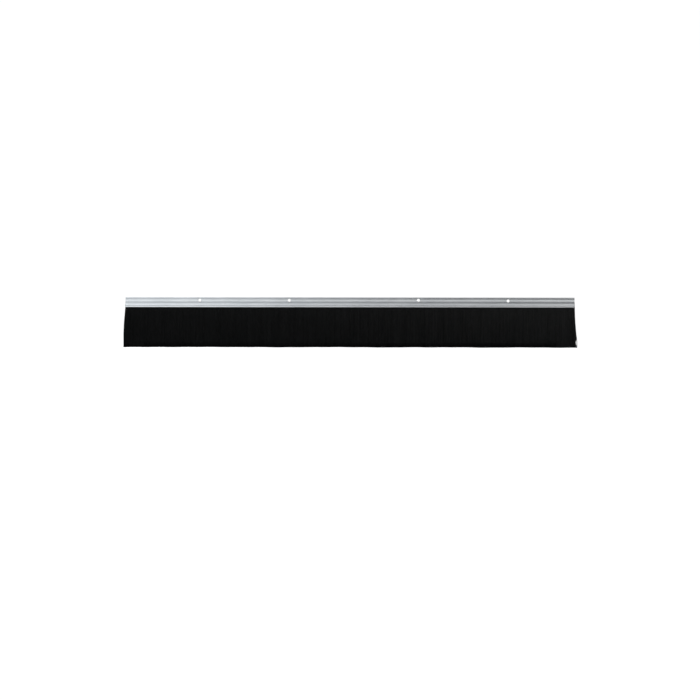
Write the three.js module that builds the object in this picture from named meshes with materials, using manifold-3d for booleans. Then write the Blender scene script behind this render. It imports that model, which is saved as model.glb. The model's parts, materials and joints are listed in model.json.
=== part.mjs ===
// Brush door sweep: a drilled aluminium carrier is screwed to the foot of a door and holds a crimped
// steel channel, which grips a row of black filaments folded over a core wire.
//
// Millimetres. X runs along the sweep, -Y faces away from the door, +Z is up. The origin is on the
// carrier's back face, which lies against the door, at mid-length on the line of the screw holes.

import * as THREE from 'three';
import { mergeVertices } from 'three/addons/utils/BufferGeometryUtils.js';
import Module from 'manifold-3d';

// ---- Driving dimensions ----------------------------------------------------------------------

const SWEEP_LENGTH = 914.4; // fits a 36 inch door
const SWEEP_HEIGHT = 101.6; // top of the flange to the bristle tips, 4 inches
const CARRIER_HEIGHT = 20.7;
const CARRIER_DEPTH = 8.7;
const FLANGE_TOP = 6.2; // above the screw line
const FLANGE_THICKNESS = 1.5; // along the screw line, where its hollowed front is thinnest
const CARRIER_WALL = 1.3;
const LIP_THICKNESS = 1.4; // the two lips that keep the channel in
const CAVITY_SIZE = 6.1; // the square space that the channel slides in
const MOUTH_WIDTH = 4.4;

const HOLE_DIAMETER = 5.8; // clears a No. 10 screw with some adjustment
const HOLE_BEVEL = 0.35;
// Each hole's place along the sweep, and its height from the screw line.
const HOLES = [
  { along: -305.9, up: 0.1 },
  { along: -123.7, up: 0 },
  { along: 139.4, up: 0.5 },
  { along: 322.0, up: -0.6 },
];

const CHANNEL_SIZE = 5.6; // outside width and height of the folded steel channel
const CHANNEL_SHEET = 0.8;
const CHANNEL_CRIMP = 0.25; // how far each leg leans in
const CHANNEL_OVERHANG = 0.6; // how far the brush stands out of each end of the carrier

const WIRE_DIAMETER = 1.8;
const FOLD_THICKNESS = 1.1; // filaments between the wire and the channel

const SECTION_COUNT = 24;
const SECTION_GAP = 0.3;
const BRISTLE_THICKNESS = 4.2; // front to back, where the bristles start to bend
const TIP_THICKNESS = 6.4;
const FREE_ROOT = 12; // stiff length below the carrier, 0.15 of the free bristle length
const END_FLARE = 3.7; // how far the tips at each end lean outwards
const FLARE_DEPTH = 62; // the lean is complete this far below the carrier

const CLEARANCE = 0.15; // between the wire, the filaments and the channel
const HINGE_CLEARANCE = 0.3; // between the stiff root and the bending sections

// ---- Heights and places worked out from them ---------------------------------------------------

const carrierBottom = FLANGE_TOP - CARRIER_HEIGHT;
const tipLevel = FLANGE_TOP - SWEEP_HEIGHT;
const cavityFloor = carrierBottom + LIP_THICKNESS;
const cavityTop = cavityFloor + CAVITY_SIZE;
const slotCentre = -(CARRIER_WALL + CAVITY_SIZE / 2);

const channelSlack = (CAVITY_SIZE - CHANNEL_SIZE) / 2;
const channelTop = cavityTop - channelSlack;
const channelBottom = channelTop - CHANNEL_SIZE;
const wireLevel = channelTop - CHANNEL_SHEET - FOLD_THICKNESS - WIRE_DIAMETER / 2;

const brushLength = SWEEP_LENGTH + 2 * CHANNEL_OVERHANG;
const hingeLevel = carrierBottom - FREE_ROOT;
const hingeRadius = BRISTLE_THICKNESS / 2;
const sectionPitch = brushLength / SECTION_COUNT;

// ---- Materials -------------------------------------------------------------------------------

const aluminium = new THREE.MeshStandardMaterial({ color: 0xb9bcc0, roughness: 0.38, metalness: 1 });
const galvanisedSteel = new THREE.MeshStandardMaterial({ color: 0x9a958c, roughness: 0.45, metalness: 1 });
const steelWire = new THREE.MeshStandardMaterial({ color: 0x8f8a83, roughness: 0.35, metalness: 1 });
const blackFilament = new THREE.MeshStandardMaterial({ color: 0x121314, roughness: 0.6, metalness: 0 });

// ---- Geometry helpers --------------------------------------------------------------------------

const wasm = await Module();
wasm.setup();

// Profiles are drawn across (world Y) and up (world Z) and extruded along the sweep (world X), so
// everything hangs in a group that turns its own X, Y and Z to the world's Y, Z and X.
const sweep = new THREE.Group();
sweep.rotation.set(0, Math.PI / 2, Math.PI / 2);

// An outline through the corners [across, up, setback], each rounded off from `setback` before it.
function roundedShape(corners) {
  const points = corners.map(([across, up]) => new THREE.Vector2(across, up));
  const shape = new THREE.Shape();
  corners.forEach(([, , setback], i) => {
    const corner = points[i];
    const before = points[(i + points.length - 1) % points.length];
    const after = points[(i + 1) % points.length];
    const start = before.clone().sub(corner).setLength(setback).add(corner);
    const end = after.clone().sub(corner).setLength(setback).add(corner);
    if (i === 0) shape.moveTo(start.x, start.y);
    else shape.lineTo(start.x, start.y);
    if (setback > 0) shape.quadraticCurveTo(corner.x, corner.y, end.x, end.y);
  });
  shape.closePath();
  return shape;
}

// Extrudes a profile over `length`, centred on `middle` along the sweep.
function extrudeAlong(shape, length, middle = 0, curveSegments = 4) {
  const geometry = new THREE.ExtrudeGeometry(shape, { depth: length, bevelEnabled: false, curveSegments });
  return geometry.translate(0, 0, middle - length / 2);
}

function toSolid(geometry) {
  const bare = geometry.index ? geometry.toNonIndexed() : geometry.clone();
  bare.deleteAttribute('normal');
  bare.deleteAttribute('uv');
  const merged = mergeVertices(bare, 1e-4);
  return new wasm.Manifold(new wasm.Mesh({
    numProp: 3,
    vertProperties: new Float32Array(merged.attributes.position.array),
    triVerts: new Uint32Array(merged.index.array),
  }));
}

function toGeometry(solid) {
  const mesh = solid.getMesh();
  const geometry = new THREE.BufferGeometry();
  geometry.setAttribute('position', new THREE.BufferAttribute(mesh.vertProperties, 3));
  geometry.setIndex(new THREE.BufferAttribute(mesh.triVerts, 1));
  geometry.computeVertexNormals();
  return geometry;
}

function addPart(name, geometry, material) {
  const mesh = new THREE.Mesh(geometry, material.clone());
  mesh.name = name;
  sweep.add(mesh);
}

// ---- Carrier -----------------------------------------------------------------------------------

// The extrusion's section: bead, flange hollowed along the screw line, round shoulder, grooved front
// wall, two lips and the flat back.
function carrierShape() {
  const bead = { thickness: 2.4, bottom: 4.5, round: 0.7, roundUnder: 0.3 };
  const hollow = { top: 2.4, bottom: -1.6, roundTop: 1.7, roundBottom: 1 };
  const shoulder = { top: -3.2, step: 0.3, edge: -4.6, fillet: 0.5, round: 3.9 };
  const groove = { centre: -11.3, halfWidth: 0.75, depth: 0.65 };
  const lipRound = 1.2;
  const edge = 0.35;
  const front = -CARRIER_DEPTH;
  const mouthFront = slotCentre - MOUTH_WIDTH / 2;
  const mouthBack = slotCentre + MOUTH_WIDTH / 2;
  const cavityFront = slotCentre - CAVITY_SIZE / 2;
  const cavityBack = slotCentre + CAVITY_SIZE / 2;
  return roundedShape([
    [0, FLANGE_TOP, edge],
    [-bead.thickness, FLANGE_TOP, bead.round],
    [-bead.thickness, bead.bottom, bead.roundUnder],
    [-FLANGE_THICKNESS, hollow.top, hollow.roundTop],
    [-FLANGE_THICKNESS, hollow.bottom, hollow.roundBottom],
    [-FLANGE_THICKNESS - shoulder.step, shoulder.top, shoulder.fillet],
    [front, shoulder.edge, shoulder.round],
    [front, groove.centre + groove.halfWidth, 0.2],
    [front + groove.depth, groove.centre, 0.3],
    [front, groove.centre - groove.halfWidth, 0.2],
    [front, carrierBottom, lipRound],
    [mouthFront, carrierBottom, edge],
    [mouthFront, cavityFloor, edge],
    [cavityFront, cavityFloor, 0],
    [cavityFront, cavityTop, edge],
    [cavityBack, cavityTop, edge],
    [cavityBack, cavityFloor, 0],
    [mouthBack, cavityFloor, edge],
    [mouthBack, carrierBottom, edge],
    [0, carrierBottom, edge],
  ]);
}

// A bevelled drill: a closed profile turned about its axis, laid across the flange.
function screwHole({ along, up }) {
  const radius = HOLE_DIAMETER / 2;
  const beyond = 3.5; // how far the drill runs out of each face, past the shoulder at the front
  const backEnd = -beyond;
  const bevelStart = FLANGE_THICKNESS - HOLE_BEVEL;
  const frontEnd = FLANGE_THICKNESS + beyond;
  const profile = [
    [0, backEnd],
    [radius, backEnd],
    [radius, bevelStart],
    [radius + HOLE_BEVEL, FLANGE_THICKNESS],
    [radius + HOLE_BEVEL, frontEnd],
    [0, frontEnd],
  ].map(([r, depth]) => new THREE.Vector2(r, depth));
  const geometry = new THREE.LatheGeometry(profile, 32);
  return toSolid(geometry.rotateZ(Math.PI / 2).translate(0, up, along));
}

function carrier() {
  const blank = toSolid(extrudeAlong(carrierShape(), SWEEP_LENGTH));
  const drilled = HOLES.reduce((solid, hole) => solid.subtract(screwHole(hole)), blank);
  return toGeometry(drilled);
}

// ---- Channel, wire and stiff root of the brush ---------------------------------------------------

// A U of folded sheet, open downwards, with its legs crimped in on the filaments.
function brushChannel() {
  const outer = CHANNEL_SIZE / 2;
  const inner = outer - CHANNEL_SHEET;
  const side = (across, up, setback) => [slotCentre + across, up, setback];
  const shape = roundedShape([
    side(-outer, channelTop, 1),
    side(-outer + CHANNEL_CRIMP, channelBottom, 0.2),
    side(-inner + CHANNEL_CRIMP, channelBottom, 0.2),
    side(-inner, channelTop - CHANNEL_SHEET, 0.4),
    side(inner, channelTop - CHANNEL_SHEET, 0.4),
    side(inner - CHANNEL_CRIMP, channelBottom, 0.2),
    side(outer - CHANNEL_CRIMP, channelBottom, 0.2),
    side(outer, channelTop, 1),
  ]);
  return extrudeAlong(shape, brushLength);
}

function coreWire() {
  const circle = new THREE.Shape();
  circle.absarc(slotCentre, wireLevel, WIRE_DIAMETER / 2, 0, 2 * Math.PI);
  return extrudeAlong(circle, brushLength, 0, 20);
}

// The folded filaments: round over the wire, pinched by the crimped legs, then straight down to just
// above the hinge line.
function bristleRoot() {
  const top = channelTop - CHANNEL_SHEET - CLEARANCE;
  const bottom = hingeLevel + hingeRadius + HINGE_CLEARANCE;
  const topHalf = CHANNEL_SIZE / 2 - CHANNEL_SHEET - CLEARANCE;
  const pinchHalf = topHalf - CHANNEL_CRIMP;
  const mouthHalf = MOUTH_WIDTH / 2 - 2 * CLEARANCE;
  const side = (across, up, setback) => [slotCentre + across, up, setback];
  const shape = roundedShape([
    side(-topHalf, top, 0.9),
    side(-pinchHalf, channelBottom, 0.3),
    side(-mouthHalf, carrierBottom, 0.5),
    side(-hingeRadius, bottom, 0),
    side(hingeRadius, bottom, 0),
    side(mouthHalf, carrierBottom, 0.5),
    side(pinchHalf, channelBottom, 0.3),
    side(topHalf, top, 0.9),
  ]);
  const wireHole = new THREE.Path();
  wireHole.absarc(slotCentre, wireLevel, WIRE_DIAMETER / 2 + CLEARANCE, 0, 2 * Math.PI);
  shape.holes.push(wireHole);
  return extrudeAlong(shape, brushLength, 0, 8);
}

// ---- Bending bristle sections --------------------------------------------------------------------

// How far the last filaments lean outwards at a given height.
function endFlare(up) {
  const depth = Math.min(Math.max(carrierBottom - up, 0) / FLARE_DEPTH, 1);
  return END_FLARE * Math.sin(depth * Math.PI / 2);
}

// Half a cylinder about the hinge line, then two flat sides that widen towards the tips.
function sectionShape() {
  const levels = 5;
  const shape = new THREE.Shape();
  shape.moveTo(slotCentre + hingeRadius, hingeLevel);
  shape.absarc(slotCentre, hingeLevel, hingeRadius, 0, Math.PI);
  const side = (sign, level) => {
    const t = level / levels;
    const half = THREE.MathUtils.lerp(hingeRadius, TIP_THICKNESS / 2, t);
    shape.lineTo(slotCentre + sign * half, THREE.MathUtils.lerp(hingeLevel, tipLevel, t));
  };
  for (let level = 1; level <= levels; level++) side(-1, level);
  for (let level = levels; level >= 1; level--) side(1, level);
  shape.closePath();
  return shape;
}

function bristleSection(index) {
  const middle = (index + 0.5) * sectionPitch - brushLength / 2;
  const length = sectionPitch - SECTION_GAP;
  const geometry = extrudeAlong(sectionShape(), length, middle, 8);
  const outward = index === 0 ? -1 : index === SECTION_COUNT - 1 ? 1 : 0;
  const position = geometry.attributes.position;
  for (let i = 0; i < position.count; i++) {
    const isOuterEnd = outward * (position.getZ(i) - middle) > 0;
    if (isOuterEnd) position.setZ(i, position.getZ(i) + outward * endFlare(position.getY(i)));
  }
  geometry.computeVertexNormals();
  return geometry;
}

// ---- Assembly ----------------------------------------------------------------------------------

addPart('carrier', carrier(), aluminium);
addPart('brush_channel', brushChannel(), galvanisedSteel);
addPart('core_wire', coreWire(), steelWire);
addPart('bristle_root', bristleRoot(), blackFilament);
for (let i = 0; i < SECTION_COUNT; i++) {
  addPart(`bristles_${String(i + 1).padStart(2, '0')}`, bristleSection(i), blackFilament);
}

export default sweep;
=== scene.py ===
import json
import math

import bpy
import numpy as np
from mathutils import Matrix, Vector


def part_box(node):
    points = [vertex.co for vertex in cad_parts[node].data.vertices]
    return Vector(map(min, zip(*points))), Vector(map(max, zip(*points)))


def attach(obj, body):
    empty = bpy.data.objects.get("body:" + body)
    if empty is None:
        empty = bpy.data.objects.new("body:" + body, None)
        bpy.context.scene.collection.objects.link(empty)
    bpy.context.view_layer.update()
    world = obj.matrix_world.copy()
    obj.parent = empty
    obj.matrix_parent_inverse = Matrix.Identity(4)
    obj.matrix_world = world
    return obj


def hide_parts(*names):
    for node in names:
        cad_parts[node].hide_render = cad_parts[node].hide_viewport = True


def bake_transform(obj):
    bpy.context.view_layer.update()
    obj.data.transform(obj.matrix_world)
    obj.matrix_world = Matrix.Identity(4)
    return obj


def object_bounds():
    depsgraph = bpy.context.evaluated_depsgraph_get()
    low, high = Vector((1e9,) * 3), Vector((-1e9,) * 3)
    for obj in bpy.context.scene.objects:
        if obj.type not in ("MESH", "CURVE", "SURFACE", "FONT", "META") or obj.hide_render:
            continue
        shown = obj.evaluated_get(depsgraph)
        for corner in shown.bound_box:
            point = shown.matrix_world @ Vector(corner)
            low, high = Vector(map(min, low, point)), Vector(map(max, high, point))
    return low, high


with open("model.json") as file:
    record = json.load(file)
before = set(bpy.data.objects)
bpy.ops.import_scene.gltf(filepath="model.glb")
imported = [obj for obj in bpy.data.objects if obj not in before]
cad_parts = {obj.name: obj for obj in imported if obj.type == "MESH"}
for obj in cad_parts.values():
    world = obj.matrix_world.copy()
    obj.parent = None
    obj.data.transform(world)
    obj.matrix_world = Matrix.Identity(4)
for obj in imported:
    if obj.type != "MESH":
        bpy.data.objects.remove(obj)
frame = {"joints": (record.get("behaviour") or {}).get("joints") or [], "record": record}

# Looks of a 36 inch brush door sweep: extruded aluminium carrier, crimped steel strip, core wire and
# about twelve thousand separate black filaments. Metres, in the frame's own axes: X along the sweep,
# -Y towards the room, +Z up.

MM = 0.001
SEED = 36

# ---- Sizes that the frame's boxes don't give ------------------------------------------------------

FLANGE_THICKNESS = 1.5 * MM  # along the screw line
HOLE_RADIUS = 2.9 * MM
HOLE_BEVEL = 0.35 * MM
SHEET_THICKNESS = 0.8 * MM  # of the crimped channel
CHANNEL_CRIMP = 0.25 * MM  # how far each of its legs leans in

FILAMENT_RADIUS = 0.24 * MM
FILAMENT_SIDES = 5
ROW_PITCH = 0.43 * MM
ALONG_PITCH = 0.61 * MM
# How far each row is shifted along the sweep, in pitches, so that no angle shows a straight way through.
ROW_SHIFTS = (0.375, 0.875, 0.0, 0.5, 0.25, 0.75, 0.125, 0.625)
ROWS = len(ROW_SHIFTS)
GRIPPED_HALF = 1.52 * MM  # the filaments' reach to front and back between the crimped legs
END_MARGINS = 0.6 * MM, 0.25 * MM  # from the channel's left and right ends to the filaments
SEAM_OVERLAP = 0.4 * MM  # how far filaments may cross into the neighbouring section
FLARE_REACH = 15 * MM  # how far in from each end the outward lean fades

# Where the filaments have rings, as shares of their free length: closest where they bend, with more of
# them in the first and last section, which lean outwards, and round the gap in the right corner.
RING_PLACES = (0.0, 0.06, 0.115, 0.165, 0.215, 0.27, 0.335, 0.50, 0.68, 0.85, 1.0)
LEFT_PLACES = (0.42, 0.59, 0.74, 0.92)
RIGHT_PLACES = (0.42, 0.59, 0.74, 0.775, 0.80, 0.825, 0.865, 0.88, 0.91, 0.94, 0.97)
LOOP_LEG = 0.9 * MM  # how far the filaments folded over the wire reach below it

# ---- Places taken from the frame -----------------------------------------------------------------

cad_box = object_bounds()
sweep_low, sweep_high = cad_box
carrier_low, carrier_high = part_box("carrier")
channel_low, channel_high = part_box("brush_channel")
wire_low, wire_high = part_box("core_wire")
wire_centre = (wire_low + wire_high) / 2
wire_radius = (wire_high.z - wire_low.z) / 2
slot_y = wire_centre.y
brush_half = channel_high.x  # the strip is centred on the carrier
bends = [joint for joint in frame["joints"] if joint["type"] == "hinge"]
section_pitch = bends[1]["pos_m"][0] - bends[0]["pos_m"][0]
screw_holes = [np.mean(o["box_m"], axis=0) for o in frame["record"]["physics"]["openings"]]
tip_half_depth = (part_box("bristles_12")[1].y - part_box("bristles_12")[0].y) / 2
end_flare = sweep_high.x - channel_high.x  # how far the last tips lean out

# ---- Mesh helpers ------------------------------------------------------------------------------


def rounded_outline(corners, steps=8, guard=0.12):
    """Points (across, up) in metres round the corners (across, up, setback) in millimetres, each corner
    rounded off from `setback` before it, as the frame's own profiles are. A point `guard` inside each end
    of a straight stretch keeps it flat next to its smooth-shaded corners."""
    points = np.array([corner[:2] for corner in corners], float)
    outline = []
    for i, (_, _, setback) in enumerate(corners):
        corner = points[i]
        before, after = points[i - 1] - corner, points[(i + 1) % len(points)] - corner
        next_setback = corners[(i + 1) % len(corners)][2]
        length = np.linalg.norm(after)
        start = corner + before / np.linalg.norm(before) * setback
        end = corner + after / length * setback
        for t in np.linspace(0, 1, steps + 1 if setback else 1):
            outline.append((1 - t) ** 2 * start + 2 * t * (1 - t) * corner + t**2 * end)
        if length - setback - next_setback > 3 * guard:
            outline.append(corner + after / length * (setback + guard))
            outline.append(corner + after / length * (length - next_setback - guard))
    outline = np.array(outline) * MM
    area = np.sum(outline[:, 0] * np.roll(outline[:, 1], -1) - outline[:, 1] * np.roll(outline[:, 0], -1))
    return outline if area > 0 else outline[::-1]


def inset(outline, distance):
    """The outline moved inwards by `distance`."""
    ahead = np.roll(outline, -1, axis=0) - outline
    ahead /= np.linalg.norm(ahead, axis=1)[:, None]
    inward = np.stack([-ahead[:, 1], ahead[:, 0]], axis=1)
    mitre = inward + np.roll(inward, 1, axis=0)
    mitre /= np.sum(mitre * mitre, axis=1)[:, None] / 2
    return outline + mitre * distance


def new_object(name, vertices, faces, materials, end_faces=()):
    """A smooth-shaded mesh object; `end_faces` are the indices of faces that take the second material."""
    mesh = bpy.data.meshes.new(name)
    mesh.from_pydata([tuple(v) for v in vertices], [], faces)
    for material in materials:
        mesh.materials.append(material)
    for index in end_faces:
        mesh.polygons[index].material_index = 1
    shade_smooth(mesh)
    obj = bpy.data.objects.new(name, mesh)
    bpy.context.scene.collection.objects.link(obj)
    return obj


def shade_smooth(mesh, sharp_angle=28):
    mesh.polygons.foreach_set("use_smooth", np.ones(len(mesh.polygons), bool))
    mesh.set_sharp_from_angle(angle=math.radians(sharp_angle))


def extrusion(name, outline, low_x, high_x, chamfer, materials, breaks=()):
    """The outline (Y, Z) drawn along X, with both sawn ends lightly chamfered and rings at `breaks`."""
    small = inset(outline, chamfer)
    between = [(x, outline) for x in (low_x + chamfer, *breaks, high_x - chamfer)]
    stations = [(low_x, small), *between, (high_x, small)]
    vertices = [(x, y, z) for x, ring in stations for y, z in ring]
    count = len(outline)
    last = len(stations) - 1
    faces = []
    for k in range(last):
        for i in range(count):
            j = (i + 1) % count
            faces.append((k * count + i, k * count + j, (k + 1) * count + j, (k + 1) * count + i))
    faces.append(tuple(range(count - 1, -1, -1)))
    faces.append(tuple(range(last * count, (last + 1) * count)))
    chamfers = [*range(count), *range((last - 1) * count, last * count)]
    return new_object(name, vertices, faces, materials, [*chamfers, len(faces) - 2, len(faces) - 1])


def apply_modifiers(obj):
    depsgraph = bpy.context.evaluated_depsgraph_get()
    mesh = bpy.data.meshes.new_from_object(obj.evaluated_get(depsgraph), depsgraph=depsgraph)
    obj.modifiers.clear()
    obj.data = mesh


# ---- Material helpers ----------------------------------------------------------------------------


class Nodes:
    """A material's node tree with short calls for the nodes used here."""

    def __init__(self, name, **plain):
        self.material = bpy.data.materials.new(name)
        self.material.use_nodes = True
        self.tree = self.material.node_tree
        self.shader = self.tree.nodes["Principled BSDF"]
        for socket, value in plain.items():
            self.shader.inputs[socket.replace("_", " ")].default_value = value

    def add(self, kind, **settings):
        node = self.tree.nodes.new(kind)
        for key, value in settings.items():
            setattr(node, key, value)
        return node

    def link(self, output, node, socket):
        self.tree.links.new(output, node.inputs[socket])

    def position(self, scale):
        """The mesh's own coordinates, stretched by `scale` per axis."""
        source = self.add("ShaderNodeTexCoord")
        mapping = self.add("ShaderNodeMapping")
        mapping.inputs["Scale"].default_value = scale
        self.link(source.outputs["Object"], mapping, "Vector")
        return mapping.outputs["Vector"]

    def noise(self, vector, scale=1.0, detail=3.0, roughness=0.55):
        node = self.add("ShaderNodeTexNoise")
        self.link(vector, node, "Vector")
        node.inputs["Scale"].default_value = scale
        node.inputs["Detail"].default_value = detail
        node.inputs["Roughness"].default_value = roughness
        return node.outputs["Fac"]

    def ramp(self, value, *stops):
        """A colour ramp through (place, colour) stops."""
        node = self.add("ShaderNodeValToRGB")
        elements = node.color_ramp.elements
        while len(elements) < len(stops):
            elements.new(0.5)
        for element, (place, colour) in zip(elements, stops):
            element.position = place
            element.color = (*colour, 1)
        self.link(value, node, "Fac")
        return node.outputs["Color"]

    def spread(self, value, low, high, from_low=0.3, from_high=0.7):
        """`value` between two limits turned into low to high."""
        node = self.add("ShaderNodeMapRange")
        self.link(value, node, "Value")
        limits = {"From Min": from_low, "From Max": from_high, "To Min": low, "To Max": high}
        for socket, number in limits.items():
            node.inputs[socket].default_value = number
        return node.outputs["Result"]

    def mix(self, factor, first, second, mode="MIX"):
        """Mixes two colours, each an output or a plain colour, by an output or a number."""
        node = self.add("ShaderNodeMix", data_type="RGBA", blend_type=mode)
        for socket, value in ((0, factor), (6, first), (7, second)):
            if isinstance(value, (int, float)):
                node.inputs[socket].default_value = value
            elif isinstance(value, tuple):
                node.inputs[socket].default_value = (*value, 1)
            else:
                self.tree.links.new(value, node.inputs[socket])
        return node.outputs[2]

    def math(self, operation, first, second):
        node = self.add("ShaderNodeMath", operation=operation)
        for socket, value in enumerate((first, second)):
            if isinstance(value, (int, float)):
                node.inputs[socket].default_value = value
            else:
                self.tree.links.new(value, node.inputs[socket])
        return node.outputs[0]

    def attribute(self, name):
        return self.add("ShaderNodeAttribute", attribute_name=name).outputs["Fac"]

    def bump(self, height, strength, distance):
        node = self.add("ShaderNodeBump")
        node.inputs["Strength"].default_value = strength
        node.inputs["Distance"].default_value = distance
        self.link(height, node, "Height")
        self.link(node.outputs["Normal"], self.shader, "Normal")

    def finish(self, colour, roughness):
        self.link(colour, self.shader, "Base Color")
        self.link(roughness, self.shader, "Roughness")
        return self.material


# ---- Materials -------------------------------------------------------------------------------


def mill_aluminium():
    """Satin extruded aluminium: die lines along the sweep, cloudy patches and a few handling marks."""
    nodes = Nodes("mill_aluminium", Metallic=1.0, Specular_IOR_Level=0.5)
    lines = nodes.noise(nodes.position((2.5, 2600, 2600)), detail=4.0, roughness=0.65)
    broad = nodes.noise(nodes.position((1.2, 420, 420)), detail=2.0)
    clouds = nodes.noise(nodes.position((14, 40, 40)), detail=4.0, roughness=0.6)
    marks = nodes.noise(nodes.position((90, 700, 260)), detail=5.0, roughness=0.7)
    base = nodes.ramp(lines, (0.25, (0.665, 0.675, 0.685)), (0.75, (0.84, 0.85, 0.86)))
    shade = nodes.ramp(broad, (0.3, (0.865, 0.87, 0.875)), (0.7, (1, 1, 1)))
    toned = nodes.mix(0.8, base, shade, "MULTIPLY")
    smudge = nodes.ramp(clouds, (0.42, (0.90, 0.905, 0.91)), (0.62, (1, 1, 1)))
    colour = nodes.mix(1.0, toned, smudge, "MULTIPLY")
    rough_lines = nodes.spread(lines, 0.27, 0.40)
    rough_marks = nodes.spread(marks, -0.03, 0.10, 0.45, 0.75)
    nodes.bump(nodes.math("ADD", lines, broad), 0.35, 0.00003)
    return nodes.finish(colour, nodes.math("ADD", rough_lines, rough_marks))


def sawn_aluminium():
    """Sawn ends and drilled edges: brighter, with cutting marks across the section."""
    nodes = Nodes("sawn_aluminium", Metallic=1.0)
    cuts = nodes.noise(nodes.position((700, 260, 5200)), detail=3.0, roughness=0.7)
    grain = nodes.noise(nodes.position((1800, 1800, 1800)), detail=4.0)
    colour = nodes.ramp(cuts, (0.3, (0.70, 0.71, 0.73)), (0.7, (0.92, 0.925, 0.94)))
    nodes.bump(nodes.math("ADD", cuts, grain), 0.5, 0.00004)
    return nodes.finish(colour, nodes.spread(cuts, 0.25, 0.45))


def galvanised_strip():
    """Dull zinc-coated strip, rolled along the sweep, with faint spangle."""
    nodes = Nodes("galvanised_strip", Metallic=1.0)
    rolled = nodes.noise(nodes.position((5, 1800, 1800)), detail=4.0, roughness=0.6)
    spangle = nodes.add("ShaderNodeTexVoronoi")
    nodes.link(nodes.position((420, 420, 420)), spangle, "Vector")
    patches = nodes.ramp(spangle.outputs["Distance"], (0.1, (0.44, 0.43, 0.41)), (0.8, (0.62, 0.61, 0.59)))
    streaks = nodes.ramp(rolled, (0.3, (0.82, 0.81, 0.79)), (0.7, (1, 1, 1)))
    nodes.bump(rolled, 0.4, 0.00003)
    return nodes.finish(nodes.mix(1.0, patches, streaks, "MULTIPLY"), nodes.spread(rolled, 0.38, 0.58))


def sheared_steel():
    """Uncoated sheared ends of the strip and the wire, slightly brown."""
    nodes = Nodes("sheared_steel", Metallic=0.85)
    torn = nodes.noise(nodes.position((900, 3000, 1400)), detail=5.0, roughness=0.7)
    stain = nodes.noise(nodes.position((600, 600, 600)), detail=3.0)
    bare = nodes.ramp(torn, (0.3, (0.25, 0.22, 0.19)), (0.7, (0.52, 0.48, 0.43)))
    colour = nodes.mix(nodes.spread(stain, 0.0, 0.7, 0.45, 0.7), bare, (0.20, 0.105, 0.055))
    nodes.bump(torn, 0.6, 0.00006)
    return nodes.finish(colour, nodes.spread(torn, 0.4, 0.65))


def drawn_wire():
    """Plain drawn steel wire with lengthwise drawing marks."""
    nodes = Nodes("drawn_wire", Metallic=1.0)
    drawn = nodes.noise(nodes.position((8, 4000, 4000)), detail=4.0, roughness=0.65)
    colour = nodes.ramp(drawn, (0.3, (0.34, 0.32, 0.30)), (0.7, (0.56, 0.54, 0.51)))
    nodes.bump(drawn, 0.4, 0.00002)
    return nodes.finish(colour, nodes.spread(drawn, 0.28, 0.45))


def black_filament():
    """Black plastic filament: each one a little different in tone, duller towards its tip. The highest
    tones, at the corner's gap, are painted pale grey: painted light that stands for the light behind them."""
    nodes = Nodes("black_filament", Specular_IOR_Level=0.165, IOR=1.5)
    tone = nodes.attribute("tone")
    along = nodes.attribute("along")
    streaks = nodes.noise(nodes.position((900, 900, 30)), detail=3.0, roughness=0.6)
    # Painted light: the last colour is a pale grey painted on for the light behind the corner's outermost
    # filaments.
    deepest, palest, painted_backlight_grey = (0.0012, 0.0012, 0.0013), (0.0045, 0.0045, 0.0048), (0.16, 0.16, 0.165)
    dark = nodes.ramp(tone, (0.0, deepest), (0.8, palest), (1.0, painted_backlight_grey))
    worn = nodes.ramp(streaks, (0.35, (0.75, 0.75, 0.75)), (0.7, (1.25, 1.25, 1.28)))
    colour = nodes.mix(1.0, dark, worn, "MULTIPLY")
    sheen = nodes.spread(streaks, 0.36, 0.52)
    wear = nodes.spread(along, 0.0, 0.12, 0.0, 1.0)
    nodes.bump(streaks, 0.25, 0.00003)
    return nodes.finish(colour, nodes.math("ADD", sheen, wear))


def cut_filament():
    """The trimmed tips: matt, slightly paler."""
    nodes = Nodes("cut_filament", Specular_IOR_Level=0.3)
    fleck = nodes.noise(nodes.position((2500, 2500, 2500)), detail=2.0)
    colour = nodes.ramp(fleck, (0.3, (0.010, 0.010, 0.011)), (0.7, (0.030, 0.030, 0.032)))
    return nodes.finish(colour, nodes.spread(fleck, 0.6, 0.8))


def pale_floor():
    """Nearly white studio paper, lit evenly from inside so that it stays pale all round the sweep."""
    nodes = Nodes("pale_floor", Specular_IOR_Level=0.0, Emission_Color=(1, 1, 1, 1), Emission_Strength=0.77)
    grain = nodes.noise(nodes.position((3, 3, 3)), detail=5.0)
    colour = nodes.ramp(grain, (0.3, (0.90, 0.90, 0.90)), (0.7, (0.93, 0.93, 0.93)))
    return nodes.finish(colour, nodes.spread(grain, 0.75, 0.9))


# ---- Carrier -----------------------------------------------------------------------------------


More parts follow.
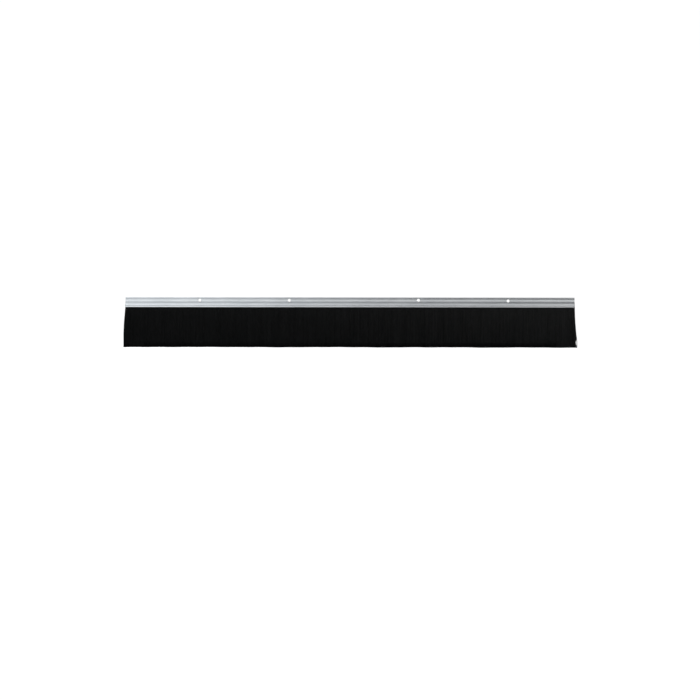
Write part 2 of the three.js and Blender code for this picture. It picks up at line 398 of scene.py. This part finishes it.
def carrier_outline():
    """The extrusion's section, in millimetres: rounded bead, hollowed flange, round shoulder, front wall
    with one groove, lips, flat back."""
    top, bottom = carrier_high.z / MM, carrier_low.z / MM
    front, back = carrier_low.y / MM, carrier_high.y / MM
    flange = -FLANGE_THICKNESS / MM
    bead = {"front": -2.4, "bottom": 4.5, "round": 0.7, "round_under": 0.3}
    hollow = {"top": 2.4, "bottom": -1.6, "round_top": 1.7, "round_bottom": 1.0}
    shoulder = {"top": -3.2, "step": 0.3, "edge": -4.6, "fillet": 0.5, "round": 3.9}
    groove = {"centre": -11.3, "half_width": 0.75, "depth": 0.65, "round": 0.3}
    lip, lip_round, cavity, mouth = 1.4, 1.2, 6.1, 4.4
    edge, small_edge, sharp = 0.35, 0.2, 0.1
    middle = slot_y / MM
    floor = bottom + lip
    return rounded_outline([
        (back, top, edge),
        (bead["front"], top, bead["round"]),
        (bead["front"], bead["bottom"], bead["round_under"]),
        (flange, hollow["top"], hollow["round_top"]),
        (flange, hollow["bottom"], hollow["round_bottom"]),
        (flange - shoulder["step"], shoulder["top"], shoulder["fillet"]),
        (front, shoulder["edge"], shoulder["round"]),
        (front, groove["centre"] + groove["half_width"], small_edge),
        (front + groove["depth"], groove["centre"], groove["round"]),
        (front, groove["centre"] - groove["half_width"], small_edge),
        (front, bottom, lip_round),
        (middle - mouth / 2, bottom, edge),
        (middle - mouth / 2, floor, edge),
        (middle - cavity / 2, floor, sharp),
        (middle - cavity / 2, floor + cavity, edge),
        (middle + cavity / 2, floor + cavity, edge),
        (middle + cavity / 2, floor, sharp),
        (middle + mouth / 2, floor, edge),
        (middle + mouth / 2, bottom, edge),
        (back, bottom, edge),
    ])


def drill_cutter():
    """Four drills across the flange in one mesh, each with the small bevel it leaves at the front."""
    segments = 64
    front, beyond = -FLANGE_THICKNESS, 3.5 * MM  # the drill runs out of each face this far
    wide = HOLE_RADIUS + HOLE_BEVEL
    rings = [
        (beyond, HOLE_RADIUS),
        (front + HOLE_BEVEL, HOLE_RADIUS),
        (front + HOLE_BEVEL * 0.3, HOLE_RADIUS + HOLE_BEVEL * 0.5),
        (front, wide),
        (front - beyond, wide),
    ]
    vertices, faces = [], []
    for hole_x, _, hole_z in screw_holes:
        base = len(vertices)
        for y, radius in rings:
            for k in range(segments):
                angle = 2 * math.pi * k / segments
                vertices.append((hole_x + radius * math.cos(angle), y, hole_z + radius * math.sin(angle)))
        for r in range(len(rings) - 1):
            for k in range(segments):
                j = (k + 1) % segments
                a, b = base + r * segments, base + (r + 1) * segments
                faces.append((a + k, a + j, b + j, b + k))
        faces.append(tuple(base + k for k in range(segments - 1, -1, -1)))
        last = base + (len(rings) - 1) * segments
        faces.append(tuple(last + k for k in range(segments)))
    return new_object("drill_cutter", vertices, faces, [])


def make_carrier(aluminium, sawn):
    """The sawn extrusion with its four holes. Rings beside each hole keep the long faces between them
    flat."""
    ring_distance, chamfer = 5 * MM, 0.12 * MM
    beside_holes = sorted(x + side * ring_distance for x, _, _ in screw_holes for side in (-1, 1))
    ends = carrier_low.x, carrier_high.x
    obj = extrusion("carrier_extrusion", carrier_outline(), *ends, chamfer, [aluminium, sawn], beside_holes)
    cutter = drill_cutter()
    for polygon in cutter.data.polygons:
        polygon.material_index = 1
    drill = obj.modifiers.new("screw_holes", "BOOLEAN")
    drill.operation, drill.solver, drill.object = "DIFFERENCE", "EXACT", cutter
    apply_modifiers(obj)
    bpy.data.objects.remove(cutter)
    shade_smooth(obj.data)
    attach(obj, "carrier")
    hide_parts("carrier")


# ---- Steel channel and core wire -----------------------------------------------------------------


def make_channel(steel, sheared):
    """The U of folded strip, open downwards, its legs crimped in."""
    outer, sheet, crimp = 2.8, SHEET_THICKNESS / MM, CHANNEL_CRIMP / MM
    inner = outer - sheet
    fold_outside, fold_inside, edge = 1, 0.4, 0.2
    chamfer = 0.06 * MM
    middle, top, bottom = slot_y / MM, channel_high.z / MM, channel_low.z / MM
    outline = rounded_outline([
        (middle - outer, top, fold_outside),
        (middle - outer + crimp, bottom, edge),
        (middle - inner + crimp, bottom, edge),
        (middle - inner, top - sheet, fold_inside),
        (middle + inner, top - sheet, fold_inside),
        (middle + inner - crimp, bottom, edge),
        (middle + outer - crimp, bottom, edge),
        (middle + outer, top, fold_outside),
    ])
    obj = extrusion("crimped_channel", outline, channel_low.x, channel_high.x, chamfer, [steel, sheared])
    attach(obj, "brush")
    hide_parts("brush_channel")


def make_wire(wire, sheared):
    """The core wire, its ends nipped off at a slant."""
    segments, slant, chamfer = 32, 0.25 * MM, 0.1 * MM
    angles = np.linspace(0, 2 * math.pi, segments, endpoint=False)
    around = np.stack([np.cos(angles), np.sin(angles)], axis=1)
    ring = np.array([slot_y, wire_centre.z]) + wire_radius * around
    obj = extrusion("core_wire_drawn", ring, wire_low.x + slant, wire_high.x, chamfer, [wire, sheared])
    for vertex in obj.data.vertices:
        towards_end = 1 if vertex.co.x > 0 else -1
        vertex.co.x -= towards_end * slant * (vertex.co.z - wire_low.z) / (2 * wire_radius)
    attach(obj, "brush")
    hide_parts("core_wire")


# ---- Filaments -------------------------------------------------------------------------------


def tube_mesh(name, centres, tone, along, materials):
    """Closed filaments round paths of shape (tubes, rings, 3) that run mostly down, each turned by chance
    about its own path."""
    tubes = len(centres)
    turn = np.random.default_rng(SEED + tubes).uniform(0, 2 * math.pi, (tubes, 1, 1))
    angles = turn + np.arange(FILAMENT_SIDES) * 2 * math.pi / FILAMENT_SIDES
    around = np.stack([np.cos(angles), np.sin(angles), np.zeros_like(angles)], axis=-1)
    offsets = FILAMENT_RADIUS * around
    return skin_tubes(name, centres[:, :, None, :] + offsets, tone, along, materials)


def skin_tubes(name, points, tone, along, materials):
    """Faces for tubes whose points have shape (tubes, rings, sides, 3), with both ends closed."""
    tubes, rings, sides, _ = points.shape
    index = np.arange(tubes * rings * sides).reshape(tubes, rings, sides)
    beside = np.roll(index, -1, axis=2)
    walls = np.stack([index[:, :-1], index[:, 1:], beside[:, 1:], beside[:, :-1]], axis=-1)
    roots, tips = index[:, 0, :], index[:, -1, ::-1]
    loops = np.concatenate([walls.ravel(), roots.ravel(), tips.ravel()])
    wall_count, cap_count = tubes * (rings - 1) * sides, tubes * 2
    starts = np.concatenate([np.arange(wall_count) * 4, wall_count * 4 + np.arange(cap_count) * sides])
    mesh = bpy.data.meshes.new(name)
    mesh.vertices.add(points.size // 3)
    mesh.vertices.foreach_set("co", points.astype(np.float32).ravel())
    mesh.loops.add(len(loops))
    mesh.loops.foreach_set("vertex_index", loops.astype(np.int32))
    mesh.polygons.add(len(starts))
    mesh.polygons.foreach_set("loop_start", starts.astype(np.int32))
    for material in materials:
        mesh.materials.append(material)
    is_tip = np.arange(len(starts)) >= wall_count + tubes
    mesh.polygons.foreach_set("material_index", (is_tip * (len(materials) - 1)).astype(np.int32))
    mesh.update(calc_edges=True)
    mesh.polygons.foreach_set("use_smooth", np.arange(len(starts)) < wall_count)
    for label, values in (("tone", tone), ("along", along)):
        spread = np.broadcast_to(values, (tubes, rings)).repeat(sides)
        mesh.attributes.new(label, "FLOAT", "POINT").data.foreach_set("value", spread.astype(np.float32))
    obj = bpy.data.objects.new(name, mesh)
    bpy.context.scene.collection.objects.link(obj)
    return obj


def clump(x, row, wavelengths, seed):
    """A smooth wander along the sweep, from -1 to 1, that differs from row to row."""
    rng = np.random.default_rng(seed)
    total = np.zeros_like(x)
    for length in wavelengths:
        phase, twist = rng.uniform(0, 2 * math.pi), rng.uniform(0.2, 0.9)
        total += np.sin(2 * math.pi * x / (length * MM) + phase + twist * row)
    return total / len(wavelengths)


def tip_trim(x):
    """How much longer the bristles are at places along the sweep: at both ends, in three shallow bumps
    and in a slight ripple."""
    share = (x + brush_half) / (2 * brush_half)
    bump_places, bump_width = (0.34, 0.585, 0.80), 0.035
    left_reach, right_reach = 0.06, 0.12
    bumps = sum(np.exp(-(((share - place) / bump_width) ** 2)) for place in bump_places)
    ends = np.exp(-((share / left_reach) ** 2)) + np.exp(-(((1 - share) / right_reach) ** 2))
    ripple = np.sin(x / (21 * MM)) + np.sin(x / (8.3 * MM) + 1.1)
    return MM * (0.5 * bumps + 0.4 * ends + 0.12 * ripple)


def root_places(index, rng):
    """Where one section's filaments stand in the channel: x, y and the row, counted from the middle."""
    middle = bends[index]["pos_m"][0]
    first_x = middle - section_pitch / 2 + (END_MARGINS[0] if index == 0 else 0)
    last_x = middle + section_pitch / 2 - (END_MARGINS[1] if index == len(bends) - 1 else 0)
    per_row = round(section_pitch / ALONG_PITCH)
    step = (last_x - first_x) / per_row
    column, number = np.meshgrid(np.arange(per_row), np.arange(ROWS))
    column, number = column.ravel(), number.ravel()
    row = number - (ROWS - 1) / 2
    jitter = unrest(row) * rng.uniform(-0.12, 0.12, len(row))
    root_x = first_x + (column + np.array(ROW_SHIFTS)[number] + jitter) * step
    root_y = row * ROW_PITCH + rng.normal(0, 0.02, len(row)) * MM
    return root_x, np.clip(root_y, -GRIPPED_HALF, GRIPPED_HALF), row


def is_inner(row):
    """The inner rows stand close and in order, the outer ones wander."""
    return np.abs(row) < 2


def unrest(row):
    """How freely a row's filaments wander, as a share of what the outer rows do."""
    return np.where(is_inner(row), 0.25, 1)


def leans(root_x, row, rng):
    """How far each tip leans along the sweep and across it, and how far each filament bows between its
    ends, in millimetres. Neighbours lean together, and a few outer filaments stray."""
    count = len(row)
    inner = is_inner(row)
    calm = unrest(row) ** 2
    lean_x = 0.75 * clump(root_x, np.where(inner, 0, row), (5.3, 11.7, 24, 63), SEED)
    lean_x += calm * rng.normal(0, 0.28, count)
    lean_y = 0.35 * clump(root_x, row, (7.1, 19, 47), SEED + 1) + rng.normal(0, 0.22, count)
    stray_share = 0.012
    stray = (rng.random(count) < stray_share) & ~inner
    lean_x = np.where(stray, lean_x + rng.normal(0, 1.3, count), lean_x)
    lean_y = np.where(stray, lean_y + rng.normal(0, 0.45, count), lean_y)
    bow_x, bow_y = rng.normal(0, 0.16, (2, count)) * calm
    return lean_x[:, None], lean_y[:, None], bow_x[:, None], bow_y[:, None]


def section_paths(index, rng):
    """Centre lines (filaments, rings, 3), tones and ring places of one section's filaments."""
    middle = bends[index]["pos_m"][0]
    root_x, root_y, row = root_places(index, rng)
    count = len(row)
    extra = {0: LEFT_PLACES, len(bends) - 1: RIGHT_PLACES}.get(index, ())
    share = np.array([0.0, *sorted(RING_PLACES + extra)])
    share = np.broadcast_to(share, (count, len(share)))
    grow = share**1.4
    belly = np.sin(math.pi * share)
    lean_x, lean_y, bow_x, bow_y = leans(root_x, row, rng)

    fan = 1 + grow * (tip_half_depth / (ROWS / 2 * ROW_PITCH) - 1)
    x = root_x[:, None] + MM * (lean_x * grow + bow_x * belly)
    y = root_y[:, None] * fan + MM * (lean_y * grow + bow_y * belly)
    from_end = brush_half - np.abs(root_x)
    flare = np.sign(root_x) * end_flare * np.exp(-((from_end / FLARE_REACH) ** 2))
    x = keep_in_section(x, middle, index) + flare[:, None] * end_lean(share, at_left=middle < 0)

    tip = sweep_low.z - tip_trim(root_x) + rng.normal(0, 0.13, count) * MM
    z = carrier_low.z + (tip[:, None] - carrier_low.z) * share
    z[:, 0] = wire_low.z - 0.3 * MM  # the root, gripped in the channel
    tufts = clump(root_x, 0.3 * row, (2.9, 6.3, 14, 37), SEED + 2)
    tone = np.clip(0.3 + 0.25 * tufts + rng.normal(0, 0.12, count), 0, 0.8)
    return np.stack([x, slot_y + y, z], axis=-1), tone, share


def end_lean(share, at_left):
    """The outward lean at either end, at shares of the free length: at the left end it is soon complete,
    at the right end it is larger and grows towards the tips."""
    if at_left:
        complete_at = 0.74
        return np.sin(np.minimum(share / complete_at, 1) * math.pi / 2)
    complete_at, largest = 0.8, 1.22
    return largest * np.minimum(share / complete_at, 1) ** 1.5


def keep_in_section(x, middle, index):
    """Filaments hardly cross into the neighbouring section, so that each section can bend alone."""
    half = section_pitch / 2 + SEAM_OVERLAP
    low = -math.inf if index == 0 else middle - half
    high = math.inf if index == len(bends) - 1 else middle + half
    return np.clip(x, low, high)


def loosen_corner(paths, tone, share):
    """Close above the tips of the sweep's right end the filaments bow inwards and leave a small gap,
    crossed only by the outermost few, which splay outwards and are painted pale grey for the light behind
    them."""
    place, height = 0.87, 0.055  # of the gap, as shares of the free length
    depth, reach, outermost = 1.9 * MM, 7 * MM, 0.6 * MM
    # The second number is the tone of the pale grey painted on for the light behind the outermost
    # filaments.
    largest_splay, painted_backlight_grey = 1.6 * MM, 0.9
    gap = np.exp(-(((share[0] - place) / height) ** 2))
    from_end = paths[:, 0, 0].max() - paths[:, 0, 0]
    crossing = from_end < outermost
    bow = depth * np.clip(1 - from_end / reach, 0, 1)
    paths[:, :, 0] -= np.where(crossing, 0, bow)[:, None] * gap
    splay = np.linspace(0, largest_splay, crossing.sum())
    paths[crossing, :, 0] += splay[:, None] * share[0] ** 5
    # Painted light: these filaments take the pale grey painted on for the light behind them.
    tone[crossing] = painted_backlight_grey


def make_bristles(filament, cut):
    """One mesh of filaments for each bending section."""
    for index, bend in enumerate(bends):
        rng = np.random.default_rng(SEED * 100 + index)
        paths, tone, along = section_paths(index, rng)
        if index == len(bends) - 1:
            loosen_corner(paths, tone, along)
        body = bend["child"]
        obj = tube_mesh(f"filaments_{body[-2:]}", paths, tone[:, None], along, [filament, cut])
        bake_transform(obj)
        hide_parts(body)


def make_folds(filament):
    """The filaments folded over the core wire: a packed mass inside the channel, and at each end of the
    sweep the separate loops that show round the wire."""
    loop_stretch, chamfer = 3 * MM, 0.1 * MM
    middle, top = slot_y / MM, channel_high.z / MM - 0.95
    half, pinch, low = 1.8, 0.2, (wire_low.z - LOOP_LEG) / MM
    mass = rounded_outline([
        (middle - half, top, 0.9),
        (middle - half + pinch, low, 0.3),
        (middle + half - pinch, low, 0.3),
        (middle + half, top, 0.9),
    ])
    ends = channel_low.x + loop_stretch, channel_high.x - loop_stretch
    core = extrusion("packed_core", mass, *ends, chamfer, [filament])
    layers = (1.15, 1.55)  # the loops' radii about the wire
    layer_shift = 0.2
    places = np.arange(0.3, 3.2, 0.43)  # from the channel's ends
    loops = []
    for end in (-1, 1):
        for number, layer in enumerate(layers):
            for place in places:
                x = end * (channel_high.x - (place + layer_shift * number) * MM)
                loops.append(loop_points(x, layer * MM))
    usual_tone = 0.3
    obj = skin_tubes("folded_filaments", np.array(loops), usual_tone, 0.0, [filament])
    for attribute in ("tone", "along"):
        core.data.attributes.new(attribute, "FLOAT", "POINT")
    join(obj, core)
    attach(obj, "brush")
    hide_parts("bristle_root")


def loop_points(x, layer):
    """One filament bent over the wire and pressed a little thinner: up one side, round the top and down
    the other."""
    radius = FILAMENT_RADIUS * 0.83
    leg = wire_radius + LOOP_LEG
    turns = np.linspace(0, math.pi, 12)
    path = [(layer, -leg)] + [(layer * math.cos(t), layer * math.sin(t)) for t in turns] + [(-layer, -leg)]
    across = [(1.0, 0.0)] + [(math.cos(t), math.sin(t)) for t in turns] + [(-1.0, 0.0)]
    rings = []
    for (y, z), (out_y, out_z) in zip(path, across):
        ring = []
        for k in range(FILAMENT_SIDES):
            angle = 2 * math.pi * k / FILAMENT_SIDES
            outwards = radius * math.cos(angle)
            ring.append((
                x + radius * math.sin(angle),
                slot_y + y + outwards * out_y,
                wire_centre.z + z + outwards * out_z,
            ))
        rings.append(ring)
    return rings


def join(obj, *others):
    """Joins other objects' meshes into obj."""
    with bpy.context.temp_override(active_object=obj, selected_editable_objects=[obj, *others]):
        bpy.ops.object.join()


# ---- Floor, light and camera ---------------------------------------------------------------------


def make_stage():
    """A pale studio floor that curves up all round, far away from the sweep."""
    flat, bend, wall = 9.0, 4.0, 5.0
    turns = np.linspace(0.12, math.pi / 2, 12)
    curve = [(flat + bend * math.sin(t), bend * (1 - math.cos(t))) for t in turns]
    profile = [(flat, 0.0), *curve, (flat + bend, bend + wall)]
    segments = 96
    floor_z = sweep_low.z - 2 * MM
    vertices = [(0, 0, floor_z)]
    for radius, height in profile:
        for k in range(segments):
            angle = 2 * math.pi * k / segments
            vertices.append((radius * math.cos(angle), radius * math.sin(angle), floor_z + height))
    faces = [(0, 1 + k, 1 + (k + 1) % segments) for k in range(segments)]
    for ring in range(len(profile) - 1):
        a, b = 1 + ring * segments, 1 + (ring + 1) * segments
        faces += [(a + k, b + k, b + (k + 1) % segments, a + (k + 1) % segments) for k in range(segments)]
    stage = new_object("studio_floor", vertices, faces, [pale_floor()])
    # The paper is only a ground to be seen: what the metal mirrors is the softer light of the world.
    stage.visible_glossy = stage.visible_diffuse = stage.visible_shadow = False


def area_light(name, place, target, size, power, colour):
    data = bpy.data.lights.new(name, "AREA")
    data.shape, data.size, data.size_y = "RECTANGLE", size[0], size[1]
    data.energy, data.color = power, colour
    light = bpy.data.objects.new(name, data)
    light.location = place
    light.rotation_euler = (Vector(target) - Vector(place)).to_track_quat("-Z", "Y").to_euler()
    light.visible_camera = False
    bpy.context.scene.collection.objects.link(light)


def make_lights():
    """A broad cool window and a ceiling panel to the left, a weak window to the right and a small lamp by
    the brush's right end."""
    cool, paler, warmer = (0.90, 0.96, 1.0), (0.92, 0.98, 1.0), (0.97, 1.0, 0.98)
    area_light("window_left", (-1.25, -2.5, 0), (-1.25, 0, 0), (2.0, 10.0), 59, cool)
    area_light("ceiling_left", (-1.25, -0.4, 2.5), (-1.25, -0.4, 0), (2.2, 4.0), 15, cool)
    area_light("window_right", (0.52, -2.5, 0), (0.52, 0, 0), (0.5, 3.0), 0.9, paler)
    area_light("lamp_right", (0.85, -0.45, 0.02), (0.4, 0, -0.05), (0.3, 0.3), 2.0, warmer)


def make_world():
    """A grey surround, brightest straight in front, a little paler again behind, and darker below than
    above."""
    front_greys = ((0.0, 0.86), (0.012, 0.435), (0.05, 0.285), (0.25, 0.255), (0.5, 0.255), (1.0, 0.435))
    height_greys = ((0.0, 0.34), (0.3, 0.42), (0.42, 0.62), (0.485, 1.0), (1.0, 1.0))
    world = bpy.data.worlds.new("studio")
    world.use_nodes = True
    tree = world.node_tree
    direction = tree.nodes.new("ShaderNodeTexCoord")
    axes = tree.nodes.new("ShaderNodeSeparateXYZ")
    tree.links.new(direction.outputs["Generated"], axes.inputs[0])
    both = tree.nodes.new("ShaderNodeMix")
    both.data_type, both.blend_type = "RGBA", "MULTIPLY"
    both.inputs[0].default_value = 1.0
    tree.links.new(grey_ramp(tree, axes.outputs["Y"], front_greys), both.inputs[6])
    tree.links.new(grey_ramp(tree, axes.outputs["Z"], height_greys), both.inputs[7])
    tree.links.new(both.outputs[2], tree.nodes["Background"].inputs["Color"])
    bpy.context.scene.world = world
    bpy.context.scene.view_settings.view_transform = "Standard"


def grey_ramp(tree, direction, stops):
    """Greys through (place, grey) stops, as one axis of the direction goes from -1 to 1."""
    spread = tree.nodes.new("ShaderNodeMapRange")
    spread.inputs["From Min"].default_value = -1.0
    tree.links.new(direction, spread.inputs["Value"])
    ramp = tree.nodes.new("ShaderNodeValToRGB")
    elements = ramp.color_ramp.elements
    while len(elements) < len(stops):
        elements.new(0.5)
    for element, (place, grey) in zip(elements, stops):
        element.position, element.color = place, (grey, grey, grey, 1)
    tree.links.new(spread.outputs["Result"], ramp.inputs["Fac"])
    return ramp.outputs["Color"]


def make_camera():
    """Straight on, from far away through a long lens, with the sweep a little above the middle and turned
    by less than a tenth of a degree."""
    distance, frame_width, raised, roll = 6.0, 1.4259, 0.0396, -0.0014
    data = bpy.data.cameras.new("camera")
    data.sensor_width = 36.0
    data.lens = data.sensor_width * distance / frame_width
    data.shift_y = -raised
    camera = bpy.data.objects.new("camera", data)
    camera.location = (0, -distance, (sweep_low.z + sweep_high.z) / 2)
    camera.rotation_euler = (math.pi / 2, roll, 0)
    bpy.context.scene.collection.objects.link(camera)
    bpy.context.scene.camera = camera


# ---- Assembly ----------------------------------------------------------------------------------

aluminium, sawn = mill_aluminium(), sawn_aluminium()
sheared = sheared_steel()
filament, cut = black_filament(), cut_filament()

make_carrier(aluminium, sawn)
make_channel(galvanised_strip(), sheared)
make_wire(drawn_wire(), sheared)
make_folds(filament)
make_bristles(filament, cut)
make_stage()
make_lights()
make_world()
make_camera()
